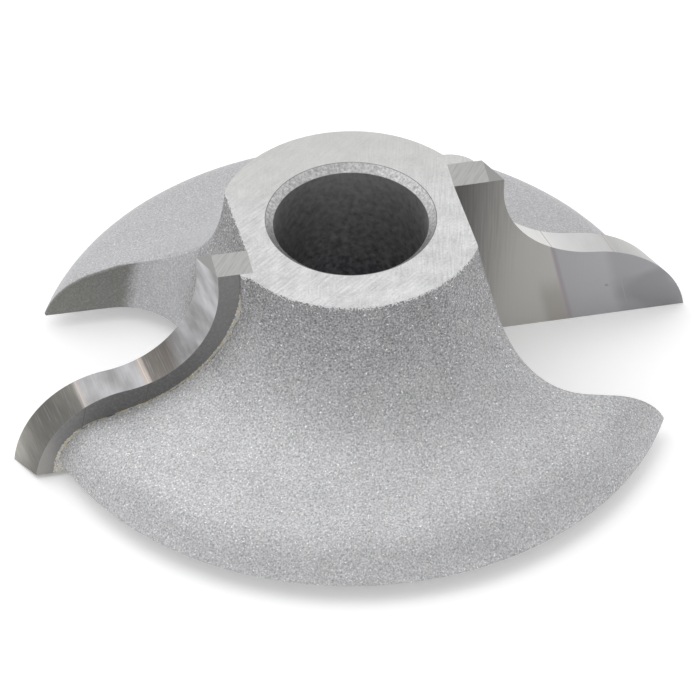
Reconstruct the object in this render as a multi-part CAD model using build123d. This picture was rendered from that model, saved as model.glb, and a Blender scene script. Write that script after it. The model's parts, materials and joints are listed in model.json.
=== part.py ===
from build123d import *
import os
from math import acos, copysign, cos, hypot, pi, radians, sin, sqrt, tan

# Two-wing ogee moulding cutter for a spindle: one steel body with a bore, and on each wing
# a thick cutting plate brazed up from three tips. Millimetres. +Z is the spindle axis, with
# z = 0 on the lower clamping face. The cutting face of wing "a" faces -Y and runs along +X,
# and wing "b" is the same half turned round the axis.

# ------------------------------------------------------------------ driving dimensions
# spindle hub
BORE_DIAMETER = 31.75
BORE_CHAMFER = 1.5                  # at both mouths, at 45 degrees
CUTTER_HEIGHT = 44.45               # between the two clamping faces
HUB_DIAMETER = 54.4                 # at the upper clamping face
BOSS_DIAMETER = 54.0                # lower clamping face

# flared body, in the radial section
RIM_SETBACK = 7.0                   # of the body's rim inside the cutting circle
UNDERSIDE_HEIGHT = 3.8              # underside of the wings above the lower face
FLARE_RADIUS = 30.5                 # hollow below the hub
FLARE_SLOPE = 16.0                  # slope of the flare where the hollow ends, degrees
RIM_RADIUS = 12.9                   # rounding of the flare down to the rim
RIM_BREAK = 0.4                     # broken lower edge of the rim

# the mill that cut seats and gullets leaned over on both axes
SHEAR_ANGLE = 5.5                   # cutting face leans forward towards the top, degrees
FLOOR_ANGLE = 11.5                  # seat and gullet floors lean in towards the top, degrees

# cutting profile, in the cutting face
CUTTING_DIAMETER = 146.0            # at the lower corner of the plate
NECK_OVERHANG = 1.3                 # of the straight neck beyond the plate's inner end
OGEE_RADIUS = 22.2                  # of the cove and of the bead alike
NECK_LENGTH = 3.25                  # of the straight neck, down from the upper face

# cutting plate
RAKE_SETBACK = 9.8                  # of the cutting face from the axis, at the lower face
PLATE_THICKNESS = 6.8
ROOT_OFFSET = 4.5                   # of the plate's inner end, at the lower face, from the hub
SEAM_SHARES_A = (0.387, 0.703)      # place of the seams on the way from neck to corner. The
SEAM_SHARES_B = (0.440, 0.755)      # tips are sawn by hand, so the two wings differ
SEAM_SKEW = 1.4                     # inward run of a seam through the plate
RELIEF_IN = 3.3                     # run of the land towards the axis, over the plate
RELIEF_DOWN = 0.7                   # and its fall
BASE_CLEARANCE = 8.0                # rise of the plate's lower face behind its edge, degrees
BRAZE_FILM = 0.15                   # filler behind and inside the plate
SEAM_FILM = 0.2                     # filler between the tips

# hub faired into the back of each plate, in plan at the upper face. It runs out below.
FAIRING_RADIUS_A = 7.0
FAIRING_RADIUS_B = 2.0
FAIRING_LIP = 0.15                  # thickness left where it ends on the plate

# chip gullet, in plan at the lower face
GULLET_FILLET = 14.0
WALL_INSET = 0.1                    # of the trailing wall inside the hub's radius
GULLET_FLARE = 1.2                  # the trailing wall opens outwards, degrees
HUB_WALL_ANGLE = 3.3                # the hub wall turns outwards, degrees
TRAILING_EDGE_BREAK = 0.4           # filed edges of the gullets

# ------------------------------------------------------------------ derived values
bore_radius = BORE_DIAMETER / 2
hub_radius = HUB_DIAMETER / 2
boss_radius = BOSS_DIAMETER / 2
plate_root = hub_radius + ROOT_OFFSET           # reach of the plate's inner end
neck_reach = plate_root + NECK_OVERHANG
trailing_y = WALL_INSET - hub_radius            # of the trailing wall
gullet_width = RAKE_SETBACK - trailing_y
fairing_depth = FLARE_RADIUS * 2 / 3            # by there the flare has covered the fairing
cutting_radius = CUTTING_DIAMETER / 2
body_radius = cutting_radius - RIM_SETBACK
cove_height = CUTTER_HEIGHT - NECK_LENGTH
corner_reach = sqrt(cutting_radius**2 - RAKE_SETBACK**2)
shear = radians(SHEAR_ANGLE)
plate_depth = PLATE_THICKNESS / cos(shear)      # plate thickness measured level
film_depth = BRAZE_FILM / cos(shear)
seat_depth = plate_depth + film_depth
rake_normal = Vector(0, -cos(shear), -sin(shear))
rake_rise = Vector(0, -sin(shear), cos(shear))  # straight up the cutting face
mill_lean = Vector(-tan(radians(FLOOR_ANGLE)), -tan(shear), 1)     # per millimetre of height
past = 3.0                                      # what a cut runs past the faces it opens
outside = CUTTING_DIAMETER                      # well beyond the cutting circle
# turn round the axis in degrees, seams and fairing radius of each wing
wings = {
    "a": (0, SEAM_SHARES_A, FAIRING_RADIUS_A),
    "b": (180, SEAM_SHARES_B, FAIRING_RADIUS_B),
}


def arc_between(start, end, radius, hollow):
    """Short arc from start to end, bowed to the left of its way where hollow is true."""
    return RadiusArc(start, end, -radius if hollow else radius)


def turned_curve(start, heading, turn, radius):
    """Cubic that follows the arc of this radius from start, and its end point.

    It sets off at heading and turns by turn, both in radians, to the left where turn is
    positive. Up to a quarter circle it keeps within a two-thousandth of the radius.
    """
    bend = copysign(radius, turn)
    after = heading + turn
    end = (
        start[0] + bend * (sin(after) - sin(heading)),
        start[1] + bend * (cos(heading) - cos(after)),
    )
    handle = bend * 4 / 3 * tan(turn / 4)
    leaving = (start[0] + handle * cos(heading), start[1] + handle * sin(heading))
    arriving = (end[0] - handle * cos(after), end[1] - handle * sin(after))
    return Bezier(start, leaving, arriving, end), end


def milled(plan):
    """A plan drawn at the lower face, carried along the leaning mill through the cutter."""
    low = Pos(*(mill_lean * -past)) * plan
    rise = CUTTER_HEIGHT + 2 * past
    return extrude(low, amount=mill_lean.length * rise, dir=mill_lean)


def strip(inner, outer, near, far, skew=0.0):
    """Leaning block between two reaches, from level depth near to far behind the cutting face."""
    slip = skew / plate_depth
    plan = Polyline(
        (inner - slip * near, RAKE_SETBACK + near),
        (outer - slip * near, RAKE_SETBACK + near),
        (outer - slip * far, RAKE_SETBACK + far),
        (inner - slip * far, RAKE_SETBACK + far),
        close=True,
    )
    return milled(make_face(plan))


# ------------------------------------------------------------------ body
def body_section():
    """Half section of the turned body, in the XZ plane."""
    slope = radians(FLARE_SLOPE)
    top = (hub_radius, CUTTER_HEIGHT)
    hollow, hollow_end = turned_curve(top, -pi / 2, pi / 2 - slope, FLARE_RADIUS)
    # The rim's rounding touches the slope and ends at the rim, so its centre lies RIM_RADIUS
    # under the slope line and RIM_RADIUS from the rim.
    rim = (body_radius, UNDERSIDE_HEIGHT + RIM_BREAK)
    to_rim = (rim[0] - hollow_end[0], rim[1] - hollow_end[1])
    forward = to_rim[0] * cos(slope) - to_rim[1] * sin(slope)
    below = -to_rim[0] * sin(slope) - to_rim[1] * cos(slope)
    turn = acos(1 - below / RIM_RADIUS)
    straight = forward - RIM_RADIUS * sin(turn)
    bead_start = (hollow_end[0] + straight * cos(slope), hollow_end[1] - straight * sin(slope))
    rounding, rim = turned_curve(bead_start, -slope, -turn, RIM_RADIUS)
    outline = [
        hollow,
        Line(hollow_end, bead_start),
        rounding,
        Polyline(
            rim,
            (body_radius - RIM_BREAK, UNDERSIDE_HEIGHT),
            (boss_radius, UNDERSIDE_HEIGHT),
            (boss_radius, 0),
            (bore_radius + BORE_CHAMFER, 0),
            (bore_radius, BORE_CHAMFER),
            (bore_radius, CUTTER_HEIGHT - BORE_CHAMFER),
            (bore_radius + BORE_CHAMFER, CUTTER_HEIGHT),
            top,
        ),
    ]
    return Plane.XZ * make_face(outline)


def gullet_plan():
    """Plan of one plate seat and the chip gullet in front of it, at the lower face."""
    wall_turn = radians(HUB_WALL_ANGLE)
    opening = radians(GULLET_FLARE)
    floor = plate_root - film_depth
    wall_top = (floor, RAKE_SETBACK)
    # where the hub wall, run straight on, would meet the trailing wall
    corner_x = floor + gullet_width * tan(wall_turn)
    corner = (corner_x, trailing_y - (corner_x - floor) * tan(opening))
    end = (outside, corner[1] - (outside - corner[0]) * tan(opening))
    front = FilletPolyline(wall_top, corner, end, radius=GULLET_FILLET)
    back = Polyline(
        end,
        (outside, RAKE_SETBACK + seat_depth),
        (floor, RAKE_SETBACK + seat_depth),
        wall_top,
    )
    return make_face([front, back])


def turned_body():
    """The body as it leaves the lathe."""
    return revolve(body_section(), Axis.Z)


def fairing(radius):
    """Block that fairs the hub into the back of plate a. It leans as the plate does."""
    wall = RAKE_SETBACK + seat_depth - CUTTER_HEIGHT * tan(shear)
    foot = wall + FAIRING_LIP
    centre = (sqrt((hub_radius + radius) ** 2 - (foot + radius) ** 2), foot + radius)
    share = hub_radius / (hub_radius + radius)
    touch = (centre[0] * share, centre[1] * share)      # where it runs into the hub's circle
    inward = (touch[0] - past, touch[1] - past)
    plan = [
        arc_between((centre[0], foot), touch, radius, True),
        Polyline(
            touch, inward, (inward[0], wall - past), (centre[0], wall - past), (centre[0], foot)
        ),
    ]
    lean = Vector(0, tan(shear), -1)
    return extrude(
        Pos(0, 0, CUTTER_HEIGHT) * make_face(plan), amount=lean.length * fairing_depth, dir=lean
    )


def faired_body():
    """The turned body with both fairings, before the seats and gullets are cut."""
    body = turned_body()
    for turn, _, radius in wings.values():
        body += Rot(0, 0, turn) * fairing(radius)
    return body


def trailing_edges(body):
    """Edges where the flare runs out on the back wall of each gullet."""
    rim_top = UNDERSIDE_HEIGHT + RIM_BREAK
    return [
        edge
        for edge in body.edges()
        if edge.geom_type in (GeomType.BSPLINE, GeomType.HYPERBOLA)
        and edge.center().X * edge.center().Y < 0
        and edge.center().Z > rim_top
    ]


def make_body():
    body = faired_body()
    pocket = milled(gullet_plan())
    for turn, _, _ in wings.values():
        body -= Rot(0, 0, turn) * pocket
    return chamfer(trailing_edges(body), TRAILING_EDGE_BREAK)


# ------------------------------------------------------------------ cutting plates
def rake_plane():
    return Plane(origin=(0, RAKE_SETBACK, 0), x_dir=(1, 0, 0), z_dir=tuple(rake_normal))


def in_rake(reach, height):
    """Point of the cutting face at a reach along it and a height above the lower face."""
    return (reach, height / cos(shear))


def ogee_centres():
    """Centres of the cove and the bead, and the lower corner of the profile."""
    corner = (corner_reach, 0.0)
    cove = in_rake(neck_reach + OGEE_RADIUS, cove_height)
    # The two arcs touch, so the centres are two radii apart, and the bead ends at the corner.
    dx, dy = corner[0] - cove[0], corner[1] - cove[1]
    gap = hypot(dx, dy)
    near = ((2 * OGEE_RADIUS) ** 2 - OGEE_RADIUS**2 + gap**2) / (2 * gap)
    off = sqrt((2 * OGEE_RADIUS) ** 2 - near**2)
    bead = (cove[0] + near * dx / gap + off * dy / gap, cove[1] + near * dy / gap - off * dx / gap)
    return cove, bead, corner


def plate_blank():
    """The plate in one piece, before its inner end, its ends and its seams are cut."""
    cove, bead, corner = ogee_centres()
    middle = ((cove[0] + bead[0]) / 2, (cove[1] + bead[1]) / 2)
    neck_top = in_rake(neck_reach, CUTTER_HEIGHT + past)
    neck_end = in_rake(neck_reach, cove_height)
    outline = [
        Line(neck_top, neck_end),
        arc_between(neck_end, middle, OGEE_RADIUS, True),
        arc_between(middle, corner, OGEE_RADIUS, False),
        Polyline(corner, (corner[0], -past), (0, -past), (0, neck_top[1]), neck_top),
    ]
    face = rake_plane() * make_face(outline)
    land = rake_normal * -PLATE_THICKNESS + Vector(-RELIEF_IN, 0, 0) - rake_rise * RELIEF_DOWN
    blank = extrude(face, amount=land.length, dir=land)
    # level top, and a lower face that rises behind the cutting edge
    across = 2 * outside
    above = Box(across, across, outside, align=(Align.CENTER, Align.CENTER, Align.MIN))
    below = Box(across, across, outside, align=(Align.CENTER, Align.CENTER, Align.MAX))
    blank -= Pos(0, 0, CUTTER_HEIGHT) * above
    blank -= Pos(0, RAKE_SETBACK, 0) * Rot(BASE_CLEARANCE, 0, 0) * below
    return blank


def seams_of(shares):
    """Reach of the joints between the tips, at the lower face."""
    return [neck_reach + share * (corner_reach - neck_reach) for share in shares]


def make_tips(blank, seams):
    """The tips of plate a with these seams, from the axis outwards."""
    edges = [plate_root - outside, *seams, outside]
    plate = blank & strip(plate_root, outside, 0, plate_depth)
    half = SEAM_FILM / 2
    tips = []
    for inner, outer in zip(edges[:-1], edges[1:]):
        tips.append(plate & strip(inner + half, outer - half, -past, seat_depth + past, SEAM_SKEW))
    return tips


def make_braze(blank, seams, radius):
    """Filler of plate a: a sheet behind it, a strip at its inner end and one in each seam."""
    around = turned_body() + fairing(radius)
    behind = strip(plate_root - film_depth, outside, plate_depth, seat_depth) & around
    inside = strip(plate_root - film_depth, plate_root, 0, plate_depth) & around
    braze = behind + inside
    half = SEAM_FILM / 2
    plate = blank & strip(plate_root, outside, 0, plate_depth)
    for seam in seams:
        braze += plate & strip(seam - half, seam + half, -past, seat_depth + past, SEAM_SKEW)
    return braze


# ------------------------------------------------------------------ build
os.makedirs("parts", exist_ok=True)
TIP_NAMES = ("root_tip", "middle_tip", "outer_tip")

nodes = {"cutter_body": make_body()}
blank = plate_blank()
for wing, (turn, shares, radius) in wings.items():
    seams = seams_of(shares)
    for name, tip in zip(TIP_NAMES, make_tips(blank, seams)):
        nodes[f"{name}_{wing}"] = Rot(0, 0, turn) * tip
    nodes[f"braze_{wing}"] = Rot(0, 0, turn) * make_braze(blank, seams, radius)

for name, shape in nodes.items():
    print(name, "solids", len(shape.solids()), "volume", round(shape.volume, 1))
    export_step(shape, f"parts/{name}.step")
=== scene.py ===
# %% [markdown]
# # An ogee shaper cutter, finish by finish
#
# The object is a bored cutter for a spindle moulder: one turned and grit-blasted steel body with
# two wings, and on each wing a thick cutting plate brazed up from three hard-alloy tips. The
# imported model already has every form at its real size, so this lesson is about surfaces: how
# blasting, grinding and brazing each leave their own colour, gloss and grain on bare metal.

import json
from math import cos, inf, pi, radians, sin, tan

import bpy
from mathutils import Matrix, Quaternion, Vector


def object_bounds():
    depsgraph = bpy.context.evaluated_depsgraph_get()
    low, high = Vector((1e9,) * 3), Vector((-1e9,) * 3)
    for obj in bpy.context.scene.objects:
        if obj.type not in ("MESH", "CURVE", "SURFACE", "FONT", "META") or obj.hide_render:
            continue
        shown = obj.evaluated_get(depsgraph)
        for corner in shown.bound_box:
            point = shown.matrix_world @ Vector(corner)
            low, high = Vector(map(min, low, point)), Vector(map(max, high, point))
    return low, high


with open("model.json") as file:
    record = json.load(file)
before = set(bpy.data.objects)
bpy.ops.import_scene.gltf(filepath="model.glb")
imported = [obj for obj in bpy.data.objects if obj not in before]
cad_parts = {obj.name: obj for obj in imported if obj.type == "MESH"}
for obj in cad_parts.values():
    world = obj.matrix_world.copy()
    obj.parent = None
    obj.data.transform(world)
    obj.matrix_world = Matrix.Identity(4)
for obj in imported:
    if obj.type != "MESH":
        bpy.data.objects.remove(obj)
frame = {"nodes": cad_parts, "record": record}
cad_low, cad_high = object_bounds()
print("nodes:", ", ".join(sorted(frame["nodes"])))
print("size, mm:", [round(1000 * side, 2) for side in cad_high - cad_low])

# %% [markdown]
# ## Sizes that the finishes need
#
# A finish on a machined part changes where a machining operation stops: the upper face is ground,
# the bore is turned, the rest is blasted. One node can hold all of these, so its material has to
# know where each operation ended. Heights and radii come from the frame wherever it has them, and
# the few that it hasn't are named here, in metres.

# %% Sizes of the turned body
MM = 0.001
bore = next(mount for mount in frame["record"]["mounts"] if mount["name"] == "spindle_bore")
bore_radius = bore["dims"]["r_mm"] * MM
height = cad_high.z
chamfer = (height - bore["dims"]["length_mm"] * MM) / 2
chamfer_radius = bore_radius + chamfer
HUB_RADIUS = 27.2 * MM
FLARE_RADIUS = 30.5 * MM                 # of the hollow below the hub
FOOT_RADIUS, FOOT_HEIGHT = 49.29 * MM, 15.13 * MM       # where the hollow ends in a slope
FLARE_SLOPE = radians(16)
RIM_ROUNDING = 12.9 * MM
ROUNDING_RADIUS, ROUNDING_HEIGHT = 53.65 * MM, 0.46 * MM    # where the rounding has its centre
print("bore radius, mm:", round(bore_radius / MM, 3), " chamfer, mm:", round(chamfer / MM, 3))

# %% Sizes of the plates and gullets
SHEAR = radians(5.5)                     # lean of the cutting face
FLOOR_LEAN = radians(11.5)               # lean of the seams and of the gullet walls
RAKE_SETBACK = 9.8 * MM                  # of the cutting face from the axis, at the lower face
PLATE_THICKNESS = 6.8 * MM
SEAM_SKEW = 1.4 * MM                     # inward run of a seam through the plate
GULLET_FILLET = 14.0 * MM
FILLET_CENTRE = (46.91 * MM, -13.42 * MM)               # in plan at the lower face
HUB_WALL = (cos(radians(3.3)), sin(radians(3.3)))       # facing of the wall on the hub
TRAILING_WALL = (sin(radians(1.2)), cos(radians(1.2)))  # facing of the wall across the gullet
WINGS = {                                # turn round the axis, and reach of the two seams
    "a": (0.0, (48.22 * MM, 60.66 * MM)),
    "b": (pi, (50.31 * MM, 62.70 * MM)),
}
print("wings:", ", ".join(WINGS))

# %% [markdown]
# ## Colours as a painter names them
#
# A colour picker gives sRGB hex values, but a shader adds and multiplies light, so its inputs are
# linear. Converting in one place means that every colour below can be read and compared as hex.


# %% Turn sRGB hex into linear colour
def linear(code):
    """Linear RGBA of a hex colour such as "#A0A0A4"."""
    channels = [int(code[i:i + 2], 16) / 255 for i in (1, 3, 5)]
    return [c / 12.92 if c <= 0.04045 else ((c + 0.055) / 1.055) ** 2.4 for c in channels] + [1.0]


print("mid grey #808080 is", round(linear("#808080")[0], 3), "in linear light")

# %% [markdown]
# ## One helper for every node
#
# A shader tree is a list of nodes and of what feeds what. The helper takes the node's kind, what
# goes into its inputs (a number, a colour, or another node's output) and its settings by the
# names that the node editor shows. It hands back one output, ready to feed the next node.


# %% Add a node with its settings and links
def add(tree, kind, inputs=None, out=0, **settings):
    """Add a shader node, set or link its inputs, and return the chosen output."""
    node = tree.nodes.new("ShaderNode" + kind)
    for name, value in settings.items():
        setattr(node, name, value)
    for socket, value in (inputs or {}).items():
        if isinstance(value, bpy.types.NodeSocket):
            tree.links.new(value, node.inputs[socket])
        else:
            node.inputs[socket].default_value = value
    return node.outputs[out]


SHARE, UNDER, OVER, MIXED = 0, 6, 7, 2   # sockets of a Mix node that is set to colours
print("a colour mix has its two colours on inputs", UNDER, "and", OVER)

# %% [markdown]
# ## Masks
#
# A mask is a number that is 1 where a finish lies and 0 elsewhere. Most zones here lie between
# two limits of some measure: a height, a radius, or a depth behind the cutting face. So one
# function marks a band of a measure, with a soft edge as wide as one finish runs into the next,
# and another lays colours over each other by their masks, as coats of paint are. Masks could also
# be painted on the mesh, but a formula stays right when the mesh is cut finer.

# %% Bands and layers
FAR = 1.0                                # a limit that nothing on the part reaches


def band(tree, measure, *, low=-FAR, high=FAR, edge):
    """1 where the measure lies between low and high, falling to 0 over edge on both sides."""
    rise = add(
        tree, "MapRange", {"Value": measure, "From Min": low - edge, "From Max": low},
        interpolation_type="SMOOTHSTEP",
    )
    fall = add(
        tree, "MapRange",
        {"Value": measure, "From Min": high, "From Max": high + edge, "To Min": 1.0, "To Max": 0.0},
        interpolation_type="SMOOTHSTEP",
    )
    return add(tree, "Math", {0: rise, 1: fall}, operation="MULTIPLY")


def layers(tree, colour, *coats):
    """The colour with each coat of (mask, colour) laid over it in turn."""
    for mask, coat in coats:
        colour = add(
            tree, "Mix", {SHARE: mask, UNDER: colour, OVER: coat}, out=MIXED, data_type="RGBA"
        )
    return colour


print("an edge of", 0.05 * MM, "m is crisp, and one of", 2 * MM, "m is a slow change")

# %% [markdown]
# ## Bare metal
#
# Every surface here is bare metal, so every material is the Principled shader with Metallic at 1
# and the default IOR: the base colour is the reflectance, and roughness says how the grit or the
# grinding wheel left the surface. Zones are found in object coordinates, in metres, which ride
# with the part, and a radius is measured from the spindle's axis, which is Z.


# %% Start a bare metal
def bare_metal(name):
    """A material, its tree and its shader, set up as bare metal."""
    material = bpy.data.materials.new(name)
    material.use_nodes = True
    shader = material.node_tree.nodes["Principled BSDF"]
    shader.inputs["Metallic"].default_value = 1.0
    return material, material.node_tree, shader


def place(tree, where):
    """X, Y and Z of a point, and its radius."""
    x, y, z = add(tree, "SeparateXYZ", {"Vector": where}).node.outputs
    level = add(tree, "CombineXYZ", {"X": x, "Y": y})
    radius = add(tree, "VectorMath", {0: level}, out="Value", operation="LENGTH")
    return x, y, z, radius


print("ready:", bare_metal.__name__, "and", place.__name__)

# %% [markdown]
# ## Mottling, strokes and scratches
#
# Grit and grinding wheels leave random marks of a known size. A noise texture makes both: at one
# over the size of a mark it gives round mottling, and drawn out along one direction it gives the
# strokes of a wheel. Image textures would do it too, but they bring a fixed resolution with them.

# %% Marks of a given size
ELSEWHERE = 1.0                          # as a shift, a stretch of the noise with other marks


def mottling(tree, where, size, detail=2.0, shift=0.0):
    """Round marks of this size, in metres. A shift gives other marks of the kind."""
    moved = add(tree, "VectorMath", {0: where, 1: (shift, shift, shift)}, operation="ADD")
    return add(
        tree, "TexNoise", {"Vector": moved, "Scale": 1 / size, "Detail": detail, "Roughness": 0.6}
    )


def strokes(tree, where, sizes, detail=4.0):
    """Marks of these sizes along X, Y and Z, in metres."""
    drawn = add(tree, "Mapping", {"Vector": where, "Scale": [1 / size for size in sizes]})
    return add(tree, "TexNoise", {"Vector": drawn, "Scale": 1.0, "Detail": detail})


def scratches(tree, where, turn, width, length):
    """Lines on an upper face, lying at this turn from X."""
    laid = add(tree, "Mapping", {"Vector": where, "Rotation": (0, 0, -turn)})
    return strokes(tree, laid, (length, width, inf), detail=3.0)


print("marks of", 0.5 * MM, "m need a noise scale of", 1 / (0.5 * MM))

# %% [markdown]
# ## Where the gullet walls are
#
# Both gullets were milled by a cutter that leaned over, so their walls lean too. Sliding each
# point down the lean to the lower face turns the walls into one plan curve: a straight wall on
# the hub, a rounded root, and a straight wall across the gullet. The distance to such a rounded
# corner is short to write: how far a point lies beyond the root's centre in both facings, as one
# length, less the radius of the root.


# %% Mask of the gullet walls
def gullet_walls(tree, x, y, z):
    """Mask of both gullets' walls, and the reach of a point slid down to the lower face."""
    # the wings are a half turn apart, so the sign of X turns wing b onto wing a
    side = add(tree, "Math", {0: x}, operation="SIGN")
    across = add(tree, "Math", {0: side, 1: y}, operation="MULTIPLY")
    reach = add(tree, "Math", {0: x}, operation="ABSOLUTE")
    foot_x = add(tree, "Math", {0: z, 1: tan(FLOOR_LEAN), 2: reach}, operation="MULTIPLY_ADD")
    foot_y = add(tree, "Math", {0: z, 1: tan(SHEAR), 2: across}, operation="MULTIPLY_ADD")
    foot = add(tree, "CombineXYZ", {"X": foot_x, "Y": foot_y})
    beyond = add(tree, "VectorMath", {0: (*FILLET_CENTRE, 0), 1: foot}, operation="SUBTRACT")
    facings = [
        add(tree, "VectorMath", {0: beyond, 1: (*facing, 0)}, out="Value", operation="DOT_PRODUCT")
        for facing in (HUB_WALL, TRAILING_WALL)
    ]
    corner = add(tree, "CombineXYZ", {"X": facings[0], "Y": facings[1]})
    corner = add(tree, "VectorMath", {0: corner, 1: (0, 0, 0)}, operation="MAXIMUM")
    distance = add(tree, "VectorMath", {0: corner}, out="Value", operation="LENGTH")
    walls = band(tree, distance, high=GULLET_FILLET + 0.15 * MM, edge=0.25 * MM)
    ahead = band(tree, foot_y, high=RAKE_SETBACK, edge=0.1 * MM)
    return add(tree, "Math", {0: walls, 1: ahead}, operation="MULTIPLY"), foot_x


print("root radius of the gullets, mm:", GULLET_FILLET / MM)

# %% [markdown]
# ## The body: grit-blasted steel
#
# The body is medium carbon steel, turned, milled and then blasted all over with angular grit of
# about 0.6 mm, which leaves dents of 0.25 to 0.4 mm. Fresh blasted steel is a light, cool grey
# with no gloss. Each dent tilts the surface, which a bump does, and its floor reflects more or
# less than its rim, which a colour noise of the same size does. The dents could be modelled, but
# a hundred thousand of them would add nothing that shows at this distance.

# %% Colours and grain of blasted steel
GRIT_DENT = 0.38 * MM                    # drawn at the coarse end, so that it shows
DENT_DEPTH = 0.16 * MM                   # of the whole noise, of which a dent takes a third
BLASTED_LOW, BLASTED_HIGH = linear("#6C6C6D"), linear("#F3F3F5")
BLASTED_ROUGHNESS = 0.6
SPARKLE = linear("#FFFFFF")
CLOUD = 9 * MM                           # blasting by hand leaves clouds about a nozzle wide
CLOUD_SHARE, SHADE_SHARE = 0.1, 0.18      # of the tone
print("one dent is", round(GRIT_DENT / MM, 2), "mm across")


# %% Blasted surface
def blasted_grain(tree, where, shaded=0.0):
    """Colour of blasted steel, the height of its dents, and its tone. Painted shade takes tone away.
    """
    dents = mottling(tree, where, GRIT_DENT)
    tone = mottling(tree, where, GRIT_DENT, shift=ELSEWHERE)
    clouds = mottling(tree, where, CLOUD, detail=1.0)
    tone = add(tree, "Math", {0: clouds, 1: CLOUD_SHARE, 2: tone}, operation="MULTIPLY_ADD")
    # painted shade lowers the tone where shade falls on the body
    shaded_tone = add(tree, "Math", {0: shaded, 1: -SHADE_SHARE, 2: tone}, operation="MULTIPLY_ADD")
    share = add(tree, "MapRange", {"Value": shaded_tone, "From Min": 0.13, "From Max": 0.93})
    facets = mottling(tree, where, GRIT_DENT, shift=2 * ELSEWHERE)
    sparkles = band(tree, facets, low=0.7, edge=0.07)
    return layers(tree, BLASTED_LOW, (share, BLASTED_HIGH), (sparkles, SPARKLE)), dents, tone


print("low and high of the grain:", round(BLASTED_LOW[0], 2), round(BLASTED_HIGH[0], 2))

# %% [markdown]
# ## The ground ring
#
# After blasting, the clamping face was ground by hand on a disc, in passes that cross, so it is
# bright with fine lines in two directions. The lines could be grooves in the mesh, but they are
# finer than anything that shows, so they are strokes of tone: one direction on the left, another
# on the right, with a patchy change between them, and specks and smudges over both.

# %% Ground ring
RING_LOW, RING_HIGH, RING_REAR = linear("#B6B6B7"), linear("#EBEBEC"), linear("#C8C8C5")
GRIND_WIDTH, GRIND_LENGTH = 0.35 * MM, 5 * MM    # real lines are 0.05 mm wide
UPRIGHT, SLANTED = radians(78), radians(38)      # turns of the two passes from X
GRIND_PATCH, SPECK, SMUDGE = 9 * MM, 0.5 * MM, 3.5 * MM
TO_RIGHT = 6.0                           # per metre of X, how soon the upright lines take over


def ring_colour(tree, where, x, y):
    """Colour of the ground ring, a little duller towards the rear."""
    upright = scratches(tree, where, UPRIGHT, GRIND_WIDTH, GRIND_LENGTH)
    slanted = scratches(tree, where, SLANTED, 1.5 * GRIND_WIDTH, GRIND_LENGTH)
    patches = mottling(tree, where, GRIND_PATCH)
    choice = add(tree, "Math", {0: x, 1: TO_RIGHT, 2: patches}, operation="MULTIPLY_ADD")
    choice = add(tree, "MapRange", {"Value": choice, "From Min": 0.4, "From Max": 0.6})
    tone = add(tree, "Mix", {"Factor": choice, "A": slanted, "B": upright}, data_type="FLOAT")
    specks = mottling(tree, where, SPECK, detail=4.0, shift=ELSEWHERE)
    tone = add(tree, "Math", {0: specks, 1: 0.8, 2: tone}, operation="MULTIPLY_ADD")
    smudges = mottling(tree, where, SMUDGE, shift=ELSEWHERE)
    tone = add(tree, "Math", {0: smudges, 1: 0.7, 2: tone}, operation="MULTIPLY_ADD")
    share = add(tree, "MapRange", {"Value": tone, "From Min": 0.85, "From Max": 1.65})
    rear = add(
        tree, "MapRange",
        {"Value": y, "From Min": -8 * MM, "From Max": 25 * MM, "To Max": 0.75},
    )
    return layers(tree, RING_LOW, (share, RING_HIGH), (rear, RING_REAR))


print("grinding lines are drawn", round(GRIND_WIDTH / MM, 2), "mm wide")

# %% [markdown]
# ## The chamfer and the bore
#
# The chamfer was cut with a hand tool and is bright and patchy. The bore was reamed before heat
# treatment and is dark with scale; painted shade makes it darker deep down, and painted light makes
# it paler and blotchy towards the mouth. Both are turned surfaces and could be told apart by their
# normals, but a radius and a height do it too, and can also fade the one into the other.

# %% Chamfer and bore
CHAMFER_LOW, CHAMFER_HIGH = linear("#8A8A8A"), linear("#F0F0F0")
BORE_DEEP_SHADED, BORE_MOUTH_LIT = linear("#515155"), linear("#C0C0C0")
CHATTER_PATCH, SCALE_BLOTCH = 0.6 * MM, 1.2 * MM
LIGHTER_FROM = 14 * MM                      # height above which painted light pales the bore


def chamfer_colour(tree, where):
    """Colour of the chamfer: bright, with dull patches where the tool chattered."""
    patches = mottling(tree, where, CHATTER_PATCH, detail=4.0)
    share = add(tree, "MapRange", {"Value": patches, "From Min": 0.2, "From Max": 0.75})
    return layers(tree, CHAMFER_LOW, (share, CHAMFER_HIGH))


def bore_colour(tree, where, z):
    """Colour of the bore: dark scale in painted shade, with painted light, paler and blotchy, towards
    the mouth.
    """
    scale = mottling(tree, where, SCALE_BLOTCH, detail=6.0)
    # painted light grows from this height up to the mouth; below it the bore stays in painted shade
    lighter = add(tree, "MapRange", {"Value": z, "From Min": LIGHTER_FROM, "From Max": height})
    lighter = add(tree, "Math", {0: scale, 1: 1.2, 2: lighter}, operation="MULTIPLY_ADD")
    share = add(tree, "MapRange", {"Value": lighter, "From Min": 0.6, "From Max": 1.6})
    return layers(tree, BORE_DEEP_SHADED, (share, BORE_MOUTH_LIT))


print("the scale is worn above", round(LIGHTER_FROM / MM), "mm")

# %% [markdown]
# ## Zones of the body
#
# The hollow under the ring, the gullets' walls and the rim get painted shade: their grain is darker
# where shade falls on them. The nozzle passed lightly over the far side, so the grain fades there,
# and it hardly reached the wall across each gullet, which still shows its milled face; that wall also
# has painted shade, which stands for the dark that it reflects. The ground ring has a ragged lip of
# bright grain, and a fine dark line round the chamfer is a painted shadow of its edge. All of it is
# one node with one material, so these zones are masks.

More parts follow.
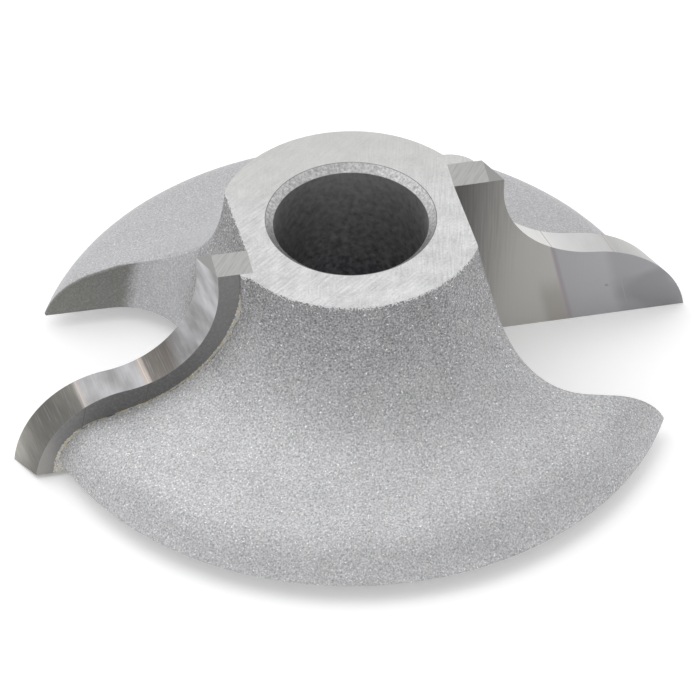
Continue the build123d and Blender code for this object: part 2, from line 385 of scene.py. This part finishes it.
# %% Where painted shade falls, and where the grain fades
HOLLOW_FROM, HOLLOW_TO = 15 * MM, 41 * MM        # heights over which painted shade deepens in the hollow
WALLS_SHADE, RIM_SHADE = 0.5, 0.35                 # shares of painted shade, set against 1 at the top of the hollow
FADE_FROM, FADE_TO = 6 * MM, 18 * MM             # places along Y over which the grain fades
FADE_SHARE, WALLS_KEEP = 0.42, 0.7               # how much fades, and what the walls keep of it


def body_painted_shade(tree, z, walls):
    """How much painted shade darkens the grain: in the hollow, on the gullets' walls and on the rim.
    """
    hollow = add(
        tree, "MapRange", {"Value": z, "From Min": HOLLOW_FROM, "From Max": HOLLOW_TO},
        interpolation_type="SMOOTHSTEP",
    )
    rim = band(tree, z, high=2 * MM, edge=3 * MM)
    shaded = add(tree, "Math", {0: walls, 1: WALLS_SHADE, 2: hollow}, operation="MULTIPLY_ADD")
    return add(tree, "Math", {0: rim, 1: RIM_SHADE, 2: shaded}, operation="MULTIPLY_ADD")


def far_side(tree, y, walls):
    """How much the grain fades towards the far side. It fades less on the gullets' walls."""
    faded = add(
        tree, "MapRange",
        {"Value": y, "From Min": FADE_FROM, "From Max": FADE_TO, "To Max": FADE_SHARE},
    )
    open_face = add(tree, "Math", {0: walls, 1: -WALLS_KEEP, 2: 1.0}, operation="MULTIPLY_ADD")
    return add(tree, "Math", {0: faded, 1: open_face}, operation="MULTIPLY")


print("the hollow gets duller from", round(HOLLOW_FROM / MM), "to", round(HOLLOW_TO / MM), "mm up")

# %% Where a tool cut last
SKIN = 0.03 * MM                         # a point this near to a face is on it
LIP_SPREAD = 4 * MM                      # how far a step of 1 in tone moves the lip
LIP_TONE = 0.49                          # brighter grain than this brings the lip over the edge


def cut_zones(tree, z, radius, tone):
    """Masks of the ring's lip, the ring, the painted shadow round the chamfer, the chamfer and the
    bore.
    """
    ragged = add(tree, "Math", {0: tone, 1: LIP_SPREAD, 2: z}, operation="MULTIPLY_ADD")
    lip = band(tree, ragged, low=height + LIP_TONE * LIP_SPREAD, edge=0.3 * MM)
    ring = band(tree, z, low=height - SKIN, edge=SKIN)
    # a thin ring of painted shadow along the chamfer's outer edge
    edge_shadow = band(tree, radius, high=chamfer_radius + 0.12 * MM, edge=0.05 * MM)
    turned = band(tree, radius, high=chamfer_radius - SKIN, edge=SKIN)
    bored = band(tree, radius, high=bore_radius + SKIN, edge=SKIN)
    return lip, ring, edge_shadow, turned, bored


print("the chamfer starts at a radius of", round(chamfer_radius / MM, 2), "mm")

# %% Put the body's material together
# the first colour is painted shade on the flat wall across each gullet, standing for the dark that it
# reflects
FLAT_WALL_SHADE, FAR_SIDE = linear("#858581"), linear("#BFBFC1")
# the second colour is a thin painted shadow along the chamfer's outer edge
LIP, CHAMFER_SHADOW = linear("#E6E6E6"), linear("#7A7A7A")
FILLET_END = 42.2 * MM                   # reach where the root ends in the wall across the gullet
CUT_ROUGHNESS = 0.38
CUT_RELIEF = 0.08                        # share of the dents' depth that a smooth zone keeps


def grit_blasted_steel():
    """The body's material: blasted steel, with each zone's colour, gloss and relief."""
    material, tree, shader = bare_metal("grit_blasted_steel")
    where = add(tree, "TexCoord", out="Object")
    x, y, z, radius = place(tree, where)
    walls, foot = gullet_walls(tree, x, y, z)
    blasted, dents, tone = blasted_grain(tree, where, body_painted_shade(tree, z, walls))
    faded = far_side(tree, y, walls)
    across = band(tree, foot, low=FILLET_END, edge=0.5 * MM)
    # the flat wall across each gullet: smoother, and in painted shade for the dark that it reflects
    flat_wall = add(tree, "Math", {0: walls, 1: across}, operation="MULTIPLY")
    grain = add(tree, "MapRange", {"Value": tone, "From Min": 0.4, "From Max": 0.7, "To Max": 0.2})
    shaded_wall = layers(tree, FLAT_WALL_SHADE, (grain, blasted))
    lip, ring, edge_shadow, turned, bored = cut_zones(tree, z, radius, tone)
    colour = layers(
        tree, blasted, (faded, FAR_SIDE), (flat_wall, shaded_wall), (lip, LIP),
        (ring, ring_colour(tree, where, x, y)), (edge_shadow, CHAMFER_SHADOW),
        (turned, chamfer_colour(tree, where)), (bored, bore_colour(tree, where, z)),
    )
    tree.links.new(colour, shader.inputs["Base Color"])

    # a wheel or a hand tool leaves more gloss than grit, but the bore's scale is as dull
    cut = add(tree, "Math", {0: ring, 1: turned}, operation="MAXIMUM")
    bright = add(tree, "Math", {0: cut, 1: bored}, operation="SUBTRACT")
    roughness = add(
        tree, "MapRange", {"Value": bright, "To Min": BLASTED_ROUGHNESS, "To Max": CUT_ROUGHNESS}
    )
    tree.links.new(roughness, shader.inputs["Roughness"])

    smooth = add(tree, "Math", {0: cut, 1: flat_wall}, operation="MAXIMUM")
    smooth = add(tree, "Math", {0: smooth, 1: faded}, operation="MAXIMUM")
    depth = add(tree, "MapRange", {"Value": smooth, "To Min": 1.0, "To Max": CUT_RELIEF})
    relief = add(tree, "Bump", {"Height": dents, "Strength": depth, "Distance": DENT_DEPTH})
    tree.links.new(relief, shader.inputs["Normal"])
    return material


body_steel = grit_blasted_steel()
print(body_steel.name, "has", len(body_steel.node_tree.nodes), "nodes")

# %% [markdown]
# ## The tips: cast cobalt alloy, ground and lapped
#
# The plate is butted up from three tips of cast cobalt alloy, a darker metal than steel. Its
# cutting face was ground, the relieved land behind the edge was lapped, the upper end was ground
# with the ring, and the back is the dark surface of the casting. Each face could have a material
# of its own, but a tip has one slot, so the material asks how deep behind the cutting face a
# point lies, how high it is, and how far out, measured along the lean of the seams.


# %% Measures on a plate
def plate_measures(tree, turn):
    """A point turned back to wing a, its X and Z, radius, and depth behind the cutting face."""
    coords = add(tree, "TexCoord", out="Object")
    where = add(tree, "Mapping", {"Vector": coords, "Rotation": (0, 0, -turn)})
    x, _, z, radius = place(tree, where)
    facing = (0, cos(SHEAR), sin(SHEAR))
    across = add(tree, "VectorMath", {0: where, 1: facing}, out="Value", operation="DOT_PRODUCT")
    depth = add(tree, "Math", {0: across, 1: RAKE_SETBACK * cos(SHEAR)}, operation="SUBTRACT")
    return where, x, z, radius, depth


def seam_reach(tree, x, z, depth):
    """How far out a point lies, as the seams do: leaning, and askew through the plate."""
    foot = add(tree, "Math", {0: z, 1: tan(FLOOR_LEAN), 2: x}, operation="MULTIPLY_ADD")
    skew = SEAM_SKEW / PLATE_THICKNESS
    return add(tree, "Math", {0: depth, 1: skew, 2: foot}, operation="MULTIPLY_ADD")


def plate_faces(tree, z, depth):
    """Masks of the plate's cutting face, its back and its upper end."""
    rake = band(tree, depth, high=SKIN, edge=SKIN)
    back = band(tree, depth, low=PLATE_THICKNESS - SKIN, edge=SKIN)
    top = band(tree, z, low=height - SKIN, edge=SKIN)
    return rake, back, top


print("the plate is", round(PLATE_THICKNESS / MM, 1), "mm thick")

# %% [markdown]
# ## The cutting face
#
# A cup wheel ground this face in strokes up and down, so it has fine upright lines. On the root tip
# its colour is darker towards the hub and the top and paler down and outwards: painted shade and
# light, standing in for how bright the reflected surroundings are. The heat of brazing left a mauve
# halo on the first seam and a warm patch beside its foot, the outer tip has a hazy middle, and one
# pit stands between the seams. Such marks could be painted by hand, but as bands and spots that are
# placed by reach and height, they keep to the seams.

# %% Colours and places on the cutting face
RAKE_SHADED, RAKE_ROOT_LIT, RAKE_MIDDLE = linear("#7A7977"), linear("#BEBCB8"), linear("#B0AFB2")
RAKE_OUTER, RAKE_HAZE, RAKE_PIT = linear("#A3A3A6"), linear("#959598"), linear("#929294")
RAKE_SEAM, RAKE_TINT = linear("#A8A2A6"), linear("#AEABA6")
WHEEL_WIDTH, WHEEL_LENGTH = 0.4 * MM, 14 * MM    # real lines are 0.05 mm wide
SHADED_REACH, LIT_REACH = 31 * MM, 50 * MM      # painted shade gives way to painted light between them
SHADED_HEIGHT = 46 * MM                    # painted light grows all the way down from here
HAZE_CENTRE, HAZE_SQUEEZE = (67.5 * MM, 0, 4.5 * MM), (0.62, 1, 0.8)     # reach, nothing, height
HAZE_BLOTCH = 6 * MM
PIT_CENTRE = (57.4 * MM, 0, 8.65 * MM)
print("wheel lines are drawn", round(WHEEL_WIDTH / MM, 2), "mm wide")


# %% Wheel strokes, under painted shade and light
def ground_root(tree, where, z, reach):
    """Colour of the root tip's cutting face, with painted shade and light, and the wheel's lines."""
    lines = strokes(tree, where, (WHEEL_WIDTH, inf, WHEEL_LENGTH))
    outward = add(
        tree, "MapRange", {"Value": reach, "From Min": SHADED_REACH, "From Max": LIT_REACH}
    )
    down = add(tree, "MapRange", {"Value": z, "From Min": SHADED_HEIGHT, "From Max": 0.0})
    # painted light grows outwards and downwards; where it is low the face stays in painted shade
    bright = add(tree, "Math", {0: outward, 1: down}, operation="ADD")
    bright = add(tree, "Math", {0: lines, 1: 0.5, 2: bright}, operation="MULTIPLY_ADD")
    bright = add(
        tree, "MapRange", {"Value": bright, "From Min": 0.22, "From Max": 1.38},
        interpolation_type="SMOOTHSTEP",
    )
    return layers(tree, RAKE_SHADED, (bright, RAKE_ROOT_LIT)), lines


print("dull at the neck:", round(RAKE_SHADED[0], 2), " bright below:", round(RAKE_ROOT_LIT[0], 2))


# %% Seams, haze and pit
def distance_from(tree, point, centre, squeeze=(1, 1, 1)):
    """Distance of a point from a centre, with each axis squeezed by a factor."""
    away = add(tree, "VectorMath", {0: point, 1: centre}, operation="SUBTRACT")
    away = add(tree, "VectorMath", {0: away, 1: squeeze}, operation="MULTIPLY")
    return add(tree, "VectorMath", {0: away}, out="Value", operation="LENGTH")


def rake_colour(tree, where, z, reach, seams):
    """Colour of the cutting face from the hub to the corner, and the wheel's lines."""
    first, second = seams
    root, lines = ground_root(tree, where, z, reach)
    past_first = band(tree, reach, low=first + 0.3 * MM, edge=0.8 * MM)
    past_second = band(tree, reach, low=second, edge=3 * MM)
    halo = band(tree, reach, low=first - 0.1 * MM, high=first + 0.2 * MM, edge=0.6 * MM)
    beside = band(tree, reach, low=first - 3.5 * MM, high=first - 1 * MM, edge=2.5 * MM)
    near_foot = band(tree, z, high=7 * MM, edge=8 * MM)
    tinted = add(tree, "Math", {0: beside, 1: near_foot}, operation="MULTIPLY")

    spot = add(tree, "CombineXYZ", {"X": reach, "Z": z})
    blotches = mottling(tree, where, HAZE_BLOTCH, detail=0.5)
    away = distance_from(tree, spot, HAZE_CENTRE, HAZE_SQUEEZE)
    away = add(tree, "Math", {0: blotches, 1: HAZE_BLOTCH, 2: away}, operation="MULTIPLY_ADD")
    haze = band(tree, away, high=HAZE_BLOTCH, edge=3.5 * MM)
    pit = band(tree, distance_from(tree, spot, PIT_CENTRE), high=0.05 * MM, edge=0.5 * MM)
    colour = layers(
        tree, root, (past_first, RAKE_MIDDLE), (tinted, RAKE_TINT), (past_second, RAKE_OUTER),
        (haze, RAKE_HAZE), (halo, RAKE_SEAM), (pit, RAKE_PIT),
    )
    return colour, lines


print("the cutting face has", len(WINGS["a"][1]), "seams")

# %% [markdown]
# ## The land
#
# The relieved land behind the edge was lapped, in strokes across it, and each tip took it in its own
# way: cool and pale on the root tip, brown before the first seam where brazing heat tinted it, grey
# on the middle tip, and olive and dull on the outer one up to its pale end. These stretches are
# partly the tips' own tones and partly painted reflection. Only wing a's land has a painted sheen
# laid over it, a pale colour that stands for the light it catches, strongest up to the first seam.
# The streaks run across the land, so they are drawn in its own two directions, along the edge and
# back from it, and not in the part's X, Y and Z.

# %% Streaks and marks of lapping
STREAK_WIDTH, STREAK_LENGTH = 5 * MM, 9 * MM
LAP_WIDTH, LAP_LENGTH = 0.4 * MM, 6 * MM         # real marks are 0.02 mm wide


def lap_marks(tree, x, z, depth):
    """Broad streaks and fine marks across the land."""
    # the land falls as it runs out, so X less Z grows along it
    along = add(tree, "Math", {0: x, 1: z}, operation="SUBTRACT")
    face = add(tree, "CombineXYZ", {"X": along, "Y": depth})
    streaks = strokes(tree, face, (STREAK_WIDTH, STREAK_LENGTH, inf))
    streaks = add(tree, "MapRange", {"Value": streaks, "From Min": 0.35, "From Max": 0.68})
    marks = strokes(tree, face, (LAP_WIDTH, LAP_LENGTH, inf))
    marks = add(
        tree, "MapRange", {"Value": marks, "From Min": 0.5, "From Max": 0.8, "To Max": 0.28}
    )
    return streaks, marks


print("lapping marks are drawn", round(LAP_WIDTH / MM, 2), "mm wide")

# %% Land
LAND_ROOT, LAND_STREAK, LAND_SHEEN = linear("#AAA9AB"), linear("#C3C2C5"), linear("#EDEDEC")
LAND_TINT, LAND_MIDDLE, LAND_SMEAR = linear("#75706C"), linear("#AAAAAC"), linear("#B5ABA4")
LAND_OLIVE, LAND_DARK, LAND_END = linear("#7A7974"), linear("#5E5D59"), linear("#BEBBB4")
PAINTED_SHEEN = {"a": 1.0, "b": 0.0}            # share of painted sheen on each wing's land
END_REACH = 73 * MM                      # reach of the pale end


def land_colour(tree, x, z, depth, reach, wing):
    """Colour of the land, changing at the seams, with a painted sheen where the wing has one."""
    first, second = WINGS[wing][1]
    streaks, marks = lap_marks(tree, x, z, depth)
    # these stretches are partly the tips' own tones and partly painted reflection
    tinted = band(tree, reach, low=first - 4.5 * MM, high=first - 1.2 * MM, edge=3 * MM)
    middle = band(tree, reach, low=first + 0.5 * MM, edge=1 * MM)
    outer = band(tree, reach, low=second + 0.8 * MM, edge=1 * MM)
    end = band(tree, reach, low=END_REACH, edge=3 * MM)
    smear, faint = (
        band(tree, reach, low=seam - 0.4 * MM, high=seam + 0.2 * MM, edge=0.5 * MM)
        for seam in (first, second)
    )
    faint = add(tree, "Math", {0: faint, 1: 0.35}, operation="MULTIPLY")
    shade = add(tree, "MapRange", {"Value": streaks, "To Min": 0.45, "To Max": 0.0})
    # painted sheen: a pale colour for the light the land catches, strongest up to the first seam
    sheen = add(
        tree, "MapRange",
        {"Value": reach, "From Min": first, "From Max": second, "To Min": 0.8, "To Max": 0.5},
    )
    sheen = add(tree, "Math", {0: sheen, 1: PAINTED_SHEEN[wing]}, operation="MULTIPLY")
    return layers(
        tree, LAND_ROOT, (streaks, LAND_STREAK), (tinted, LAND_TINT), (middle, LAND_MIDDLE),
        (outer, LAND_OLIVE), (end, LAND_END), (smear, LAND_SMEAR), (faint, LAND_SMEAR),
        (shade, LAND_DARK), (marks, LAND_STREAK), (sheen, LAND_SHEEN),
    )


print("the lands' shares of the bright finish:", PAINTED_SHEEN)

# %% [markdown]
# ## The back and the upper end
#
# Where the plate stands proud of the body, its back is as cast: dark, a little rough, and paler
# at the neck and at the corner. The upper end was ground with the ring, in slanted strokes, and
# is dull from a little beyond the hub. A casting's skin could be sculpted, but it is only some
# hundredths of a millimetre deep, so mottling in its colour is enough.

# %% Back and upper end
BACK_LIGHT, BACK_DARK, BACK_END = linear("#848484"), linear("#787878"), linear("#9C9A97")
TOP_GROUND, TOP_STREAK, TOP_DULL = linear("#B4B4B3"), linear("#A2A2A0"), linear("#9A9A99")
SKIN_SPECK = 0.6 * MM
TOP_TURN, TOP_WIDTH, TOP_LENGTH = radians(55), 0.5 * MM, 6 * MM     # of the slanted strokes
DULL_FROM = 30 * MM                      # reach from which the upper end is dull


def back_colour(tree, where, x):
    """Colour of the cast surface at the back."""
    middle = band(tree, x, low=38 * MM, high=54 * MM, edge=8 * MM)
    end = band(tree, x, low=68 * MM, edge=5 * MM)
    skin = mottling(tree, where, SKIN_SPECK, detail=4.0)
    skin = add(tree, "MapRange", {"Value": skin, "From Min": 0.45, "From Max": 0.8, "To Max": 0.6})
    return layers(tree, BACK_LIGHT, (middle, BACK_DARK), (end, BACK_END), (skin, BACK_END))


def top_colour(tree, where, x):
    """Colour of the plate's upper end."""
    slanted = scratches(tree, where, TOP_TURN, TOP_WIDTH, TOP_LENGTH)
    share = add(tree, "MapRange", {"Value": slanted, "From Min": 0.45, "From Max": 0.7})
    dull = band(tree, x, low=DULL_FROM, edge=0.2 * MM)
    return layers(tree, TOP_GROUND, (share, TOP_STREAK), (dull, TOP_DULL))


print("the upper end is dull from a reach of", round(DULL_FROM / MM), "mm")

# %% [markdown]
# ## Filler and grains along the back
#
# When the plate was brazed, filler crept a little way up its back, and the blasting roughened it
# with the body. It follows the line where the plate leaves the body, so it needs the outline of
# the turned flare: a hollow arc, a straight slope and the rounding of the rim. The bead could be
# a piece of its own, but it is half a millimetre wide and lower still, so a ragged mask of colour
# and dents shows as much of it.


# %% The flare's outline
def half_chord(tree, radius, away):
    """Half the chord of a circle at this distance from its centre, and 0 outside it."""
    squared = add(tree, "Math", {0: away, 1: away}, operation="MULTIPLY")
    left = add(tree, "Math", {0: radius**2, 1: squared}, operation="SUBTRACT")
    left = add(tree, "Math", {0: left, 1: 0.0}, operation="MAXIMUM")
    return add(tree, "Math", {0: left, 1: 0.5}, operation="POWER")


def beyond_flare(tree, z, radius):
    """How far a point lies outside the turned flare of the body, measured level."""
    below = add(tree, "Math", {0: height, 1: z}, operation="SUBTRACT")
    hollow = half_chord(tree, FLARE_RADIUS, below)
    hollow = add(tree, "Math", {0: HUB_RADIUS + FLARE_RADIUS, 1: hollow}, operation="SUBTRACT")
    run = 1 / tan(FLARE_SLOPE)
    start = FOOT_RADIUS + FOOT_HEIGHT * run
    slope = add(tree, "Math", {0: z, 1: -run, 2: start}, operation="MULTIPLY_ADD")
    rise = add(tree, "Math", {0: z, 1: ROUNDING_HEIGHT}, operation="SUBTRACT")
    rounding = half_chord(tree, RIM_ROUNDING, rise)
    rounding = add(tree, "Math", {0: rounding, 1: ROUNDING_RADIUS}, operation="ADD")
    lower = add(tree, "Math", {0: slope, 1: rounding}, operation="MINIMUM")
    upper = band(tree, z, low=FOOT_HEIGHT, edge=0.1 * MM)
    flare = add(tree, "Mix", {"Factor": upper, "A": lower, "B": hollow}, data_type="FLOAT")
    return add(tree, "Math", {0: radius, 1: flare}, operation="SUBTRACT")


print("the hollow ends at a height of", round(FOOT_HEIGHT / MM, 2), "mm")

# %% Creeping filler
FILLER_GOLD = linear("#CFC5A4")
FILLER_GRAIN = 0.7 * MM                  # brassy where the grit took its tip
CREEP_SPREAD = 0.9 * MM                  # how far a step of 1 in tone moves the bead's edge


def crept_filler(tree, where, z, radius):
    """Colour, mask and dents of the filler along the plate's back."""
    blasted, dents, tone = blasted_grain(tree, where)
    gold = mottling(tree, where, FILLER_GRAIN, shift=ELSEWHERE)
    gold = band(tree, gold, low=0.58, edge=0.06)
    above = beyond_flare(tree, z, radius)
    above = add(tree, "Math", {0: tone, 1: -CREEP_SPREAD, 2: above}, operation="MULTIPLY_ADD")
    crept = band(tree, above, high=0.25 * MM, edge=0.1 * MM)
    return layers(tree, blasted, (gold, FILLER_GOLD)), crept, dents


print("a tone of 0.5 moves the bead's edge by", round(0.5 * CREEP_SPREAD / MM, 2), "mm")

# %% Put the tips' material together
LAPPED_ROUGHNESS, GROUND_ROUGHNESS = 0.42, 0.5
WHEEL_DEPTH = 0.03 * MM
WHEEL_RELIEF, LAPPED_RELIEF = 0.6, 0.05  # shares of that depth on the cutting face and elsewhere


def cast_cobalt_alloy(wing):
    """The material of one wing's tips."""
    turn, seams = WINGS[wing]
    material, tree, shader = bare_metal("cast_cobalt_alloy_" + wing)
    where, x, z, radius, depth = plate_measures(tree, turn)
    reach = seam_reach(tree, x, z, depth)
    on_rake, on_back, on_top = plate_faces(tree, z, depth)
    rake, lines = rake_colour(tree, where, z, reach, seams)
    filler, crept, dents = crept_filler(tree, where, z, radius)
    crept = add(tree, "Math", {0: crept, 1: on_back}, operation="MULTIPLY")
    colour = layers(
        tree, land_colour(tree, x, z, depth, reach, wing), (on_rake, rake),
        (on_back, back_colour(tree, where, x)), (on_top, top_colour(tree, where, x)),
        (crept, filler),
    )
    tree.links.new(colour, shader.inputs["Base Color"])

    # the land and the upper end are glossier than the wheel's lines and the casting's skin
    dull = add(tree, "Math", {0: on_rake, 1: on_back}, operation="MAXIMUM")
    roughness = add(
        tree, "MapRange", {"Value": dull, "To Min": LAPPED_ROUGHNESS, "To Max": GROUND_ROUGHNESS}
    )
    tree.links.new(roughness, shader.inputs["Roughness"])

    ground = add(
        tree, "MapRange", {"Value": on_rake, "To Min": LAPPED_RELIEF, "To Max": WHEEL_RELIEF}
    )
    ground = add(tree, "Bump", {"Height": lines, "Strength": ground, "Distance": WHEEL_DEPTH})
    relief = add(
        tree, "Bump",
        {"Height": dents, "Strength": crept, "Distance": DENT_DEPTH, "Normal": ground},
    )
    tree.links.new(relief, shader.inputs["Normal"])
    return material


alloys = {wing: cast_cobalt_alloy(wing) for wing in WINGS}
print("alloy materials:", ", ".join(material.name for material in alloys.values()))

# %% [markdown]
# ## The braze: a thin film
#
# Brazing filler of silver and copper shows only as a line: pale and pinkish where the land was
# lapped through it, dull mauve on the ground face, grey on top where the wheel smeared steel over
# it, and brassy along the back of the plate, where the blasting took the tip of every grain. It
# could be drawn as a line in the tips' colour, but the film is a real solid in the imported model,
# so it gets a metal of its own, and its edges are where the model has them.

# %% Brazing filler
BRAZE_LAND, BRAZE_RAKE = linear("#BDB2AA"), linear("#A69FA3")
BRAZE_TOP, BRAZE_BACK = linear("#B2B1AE"), linear("#74726D")
BRAZE_ROUGHNESS = 0.45
BRAZE_DEPTH, BRAZE_RELIEF = 0.05 * MM, 0.4


def silver_copper_braze(wing):
    """The material of one wing's filler."""
    material, tree, shader = bare_metal("silver_copper_braze_" + wing)
    where, _, z, radius, depth = plate_measures(tree, WINGS[wing][0])
    on_rake, on_back, on_top = plate_faces(tree, z, depth)
    grains = mottling(tree, where, FILLER_GRAIN)
    gold = band(tree, grains, low=0.5, edge=0.06)
    by_body = band(tree, beyond_flare(tree, z, radius), high=0.6 * MM, edge=0.2 * MM)
    gold = add(tree, "Math", {0: gold, 1: by_body}, operation="MULTIPLY")
    back = layers(tree, BRAZE_BACK, (gold, FILLER_GOLD))
    colour = layers(
        tree, BRAZE_LAND, (on_rake, BRAZE_RAKE), (on_back, back), (on_top, BRAZE_TOP)
    )
    tree.links.new(colour, shader.inputs["Base Color"])
    shader.inputs["Roughness"].default_value = BRAZE_ROUGHNESS
    relief = add(
        tree, "Bump", {"Height": grains, "Strength": BRAZE_RELIEF, "Distance": BRAZE_DEPTH}
    )
    tree.links.new(relief, shader.inputs["Normal"])
    return material


brazes = {wing: silver_copper_braze(wing) for wing in WINGS}
print("braze materials:", ", ".join(material.name for material in brazes.values()))

# %% [markdown]
# ## Dress the nodes
#
# The nodes of the frame keep their meshes, and each gets the metal that it is made of, in the
# slot that it already has. The name of a tip or a braze ends in its wing, which picks that wing's
# material.


# %% Give every node its material
def metal_of(name):
    """The material of the node with this name."""
    if name == "cutter_body":
        return body_steel
    wing = name[-1]
    return brazes[wing] if name.startswith("braze") else alloys[wing]


for name, node in frame["nodes"].items():
    node.material_slots[0].material = metal_of(name)
    print(name, "->", node.material_slots[0].material.name)

# %% [markdown]
# ## Floor, surround and lamp
#
# Bare metal shows what stands around it, so the studio is part of the finish. The floor is pale,
# and a little light of its own, seen by the camera and in reflections alike, lifts it to white
# where no shadow falls. The surround is a soft dome, brighter behind and dimmer on the camera's
# side. One broad lamp hangs overhead, a little to the left and behind, and is weak enough that a
# grey renders about as it is written. Several lamps would give the metal more highlights, but
# each would cast a shadow of its own.

# %% Pale floor
FLOOR_HALF = 4.0                         # metres from the middle to an edge, beyond every view
FLOOR_WHITE = linear("#F2F2F2")
FLOOR_ROUGHNESS, FLOOR_GLOW = 0.9, 0.22


def pale_floor():
    """A large square of pale, dull floor under the cutter."""
    corners = [
        (side * FLOOR_HALF, end * FLOOR_HALF, 0) for side, end in ((-1, -1), (1, -1), (1, 1), (-1, 1))
    ]
    mesh = bpy.data.meshes.new("floor")
    mesh.from_pydata(corners, [], [(0, 1, 2, 3)])
    floor = bpy.data.objects.new("floor", mesh)
    bpy.context.scene.collection.objects.link(floor)
    material = bpy.data.materials.new("pale_floor")
    material.use_nodes = True
    tree = material.node_tree
    shader = tree.nodes["Principled BSDF"]
    shader.inputs["Base Color"].default_value = FLOOR_WHITE
    shader.inputs["Roughness"].default_value = FLOOR_ROUGHNESS
    shader.inputs["Emission Color"].default_value = (1, 1, 1, 1)
    seen = add(tree, "LightPath", out="Is Camera Ray")
    for ray in ("Is Glossy Ray", "Is Transmission Ray"):
        seen = add(tree, "Math", {0: seen, 1: add(tree, "LightPath", out=ray)}, operation="MAXIMUM")
    glow = add(tree, "Math", {0: seen, 1: FLOOR_GLOW}, operation="MULTIPLY")
    tree.links.new(glow, shader.inputs["Emission Strength"])
    mesh.materials.append(material)


pale_floor()
print("floor laid,", 2 * FLOOR_HALF, "m wide")

# %% Surround
BRIGHT_SIDE = (-0.3, 0.9, 0.3)           # behind, and a little up and to the left


def surround(front, back):
    """A dome of white light, of one strength in front of the object and another behind it."""
    world = bpy.data.worlds.new("surround")
    bpy.context.scene.world = world
    world.use_nodes = True
    tree = world.node_tree
    toward = add(tree, "TexCoord", out="Generated")
    facing = add(
        tree, "VectorMath", {0: toward, 1: BRIGHT_SIDE}, out="Value", operation="DOT_PRODUCT"
    )
    strength = add(
        tree, "MapRange",
        {"Value": facing, "From Min": -1.0, "From Max": 1.0, "To Min": front, "To Max": back},
    )
    tree.links.new(strength, tree.nodes["Background"].inputs["Strength"])
    tree.nodes["Background"].inputs["Color"].default_value = (1, 1, 1, 1)


surround(front=0.63, back=0.96)
print("world:", bpy.context.scene.world.name)


# %% Lamp
def soft_lamp(name, spot, aim, size, watts):
    """A square lamp of this size in metres, at a spot and turned towards an aim."""
    data = bpy.data.lights.new(name, "AREA")
    data.shape = "SQUARE"
    data.size = size
    data.energy = watts
    lamp = bpy.data.objects.new(name, data)
    bpy.context.scene.collection.objects.link(lamp)
    lamp.location = spot
    lamp.rotation_euler = (Vector(aim) - Vector(spot)).to_track_quat("-Z", "Y").to_euler()


soft_lamp("overhead", spot=(-0.45, 0.3, 1.5), aim=(0, 0, 0.02), size=1.6, watts=7.5)

# %% [markdown]
# ## The camera
#
# The view is from high in front, a little to the left, through a long lens. It is placed by its
# direction and distance, turned so that the cutter sits where it should in a square view, and
# rolled by the last half degree. Numbers for direction and distance are easier to adjust than a
# location and three angles, which all change together.

# %% Camera
VIEW_AZIMUTH, VIEW_ELEVATION, VIEW_DISTANCE = radians(-10.804), radians(42.241), 1.7301
AIM_HEIGHT = 3.8 * MM
LENS_MM, SENSOR_MM = 431.2, 36.0
PAN, TILT, ROLL = radians(0.0130), radians(0.1128), radians(0.4245)


def long_lens_camera():
    """The scene's camera."""
    data = bpy.data.cameras.new("camera")
    data.lens = LENS_MM
    data.sensor_width = SENSOR_MM
    camera = bpy.data.objects.new("camera", data)
    bpy.context.scene.collection.objects.link(camera)
    toward_camera = Vector((
        sin(VIEW_AZIMUTH) * cos(VIEW_ELEVATION),
        -cos(VIEW_AZIMUTH) * cos(VIEW_ELEVATION),
        sin(VIEW_ELEVATION),
    ))
    camera.location = Vector((0, 0, AIM_HEIGHT)) + VIEW_DISTANCE * toward_camera
    turn = Quaternion((0, 1, 0), PAN) @ Quaternion((1, 0, 0), TILT) @ Quaternion((0, 0, 1), -ROLL)
    camera.rotation_mode = "QUATERNION"
    camera.rotation_quaternion = (-toward_camera).to_track_quat("-Z", "Y") @ turn
    bpy.context.scene.camera = camera
    return camera


camera = long_lens_camera()
bpy.context.scene.view_settings.view_transform = "Standard"
print("camera at", [round(part, 3) for part in camera.location])
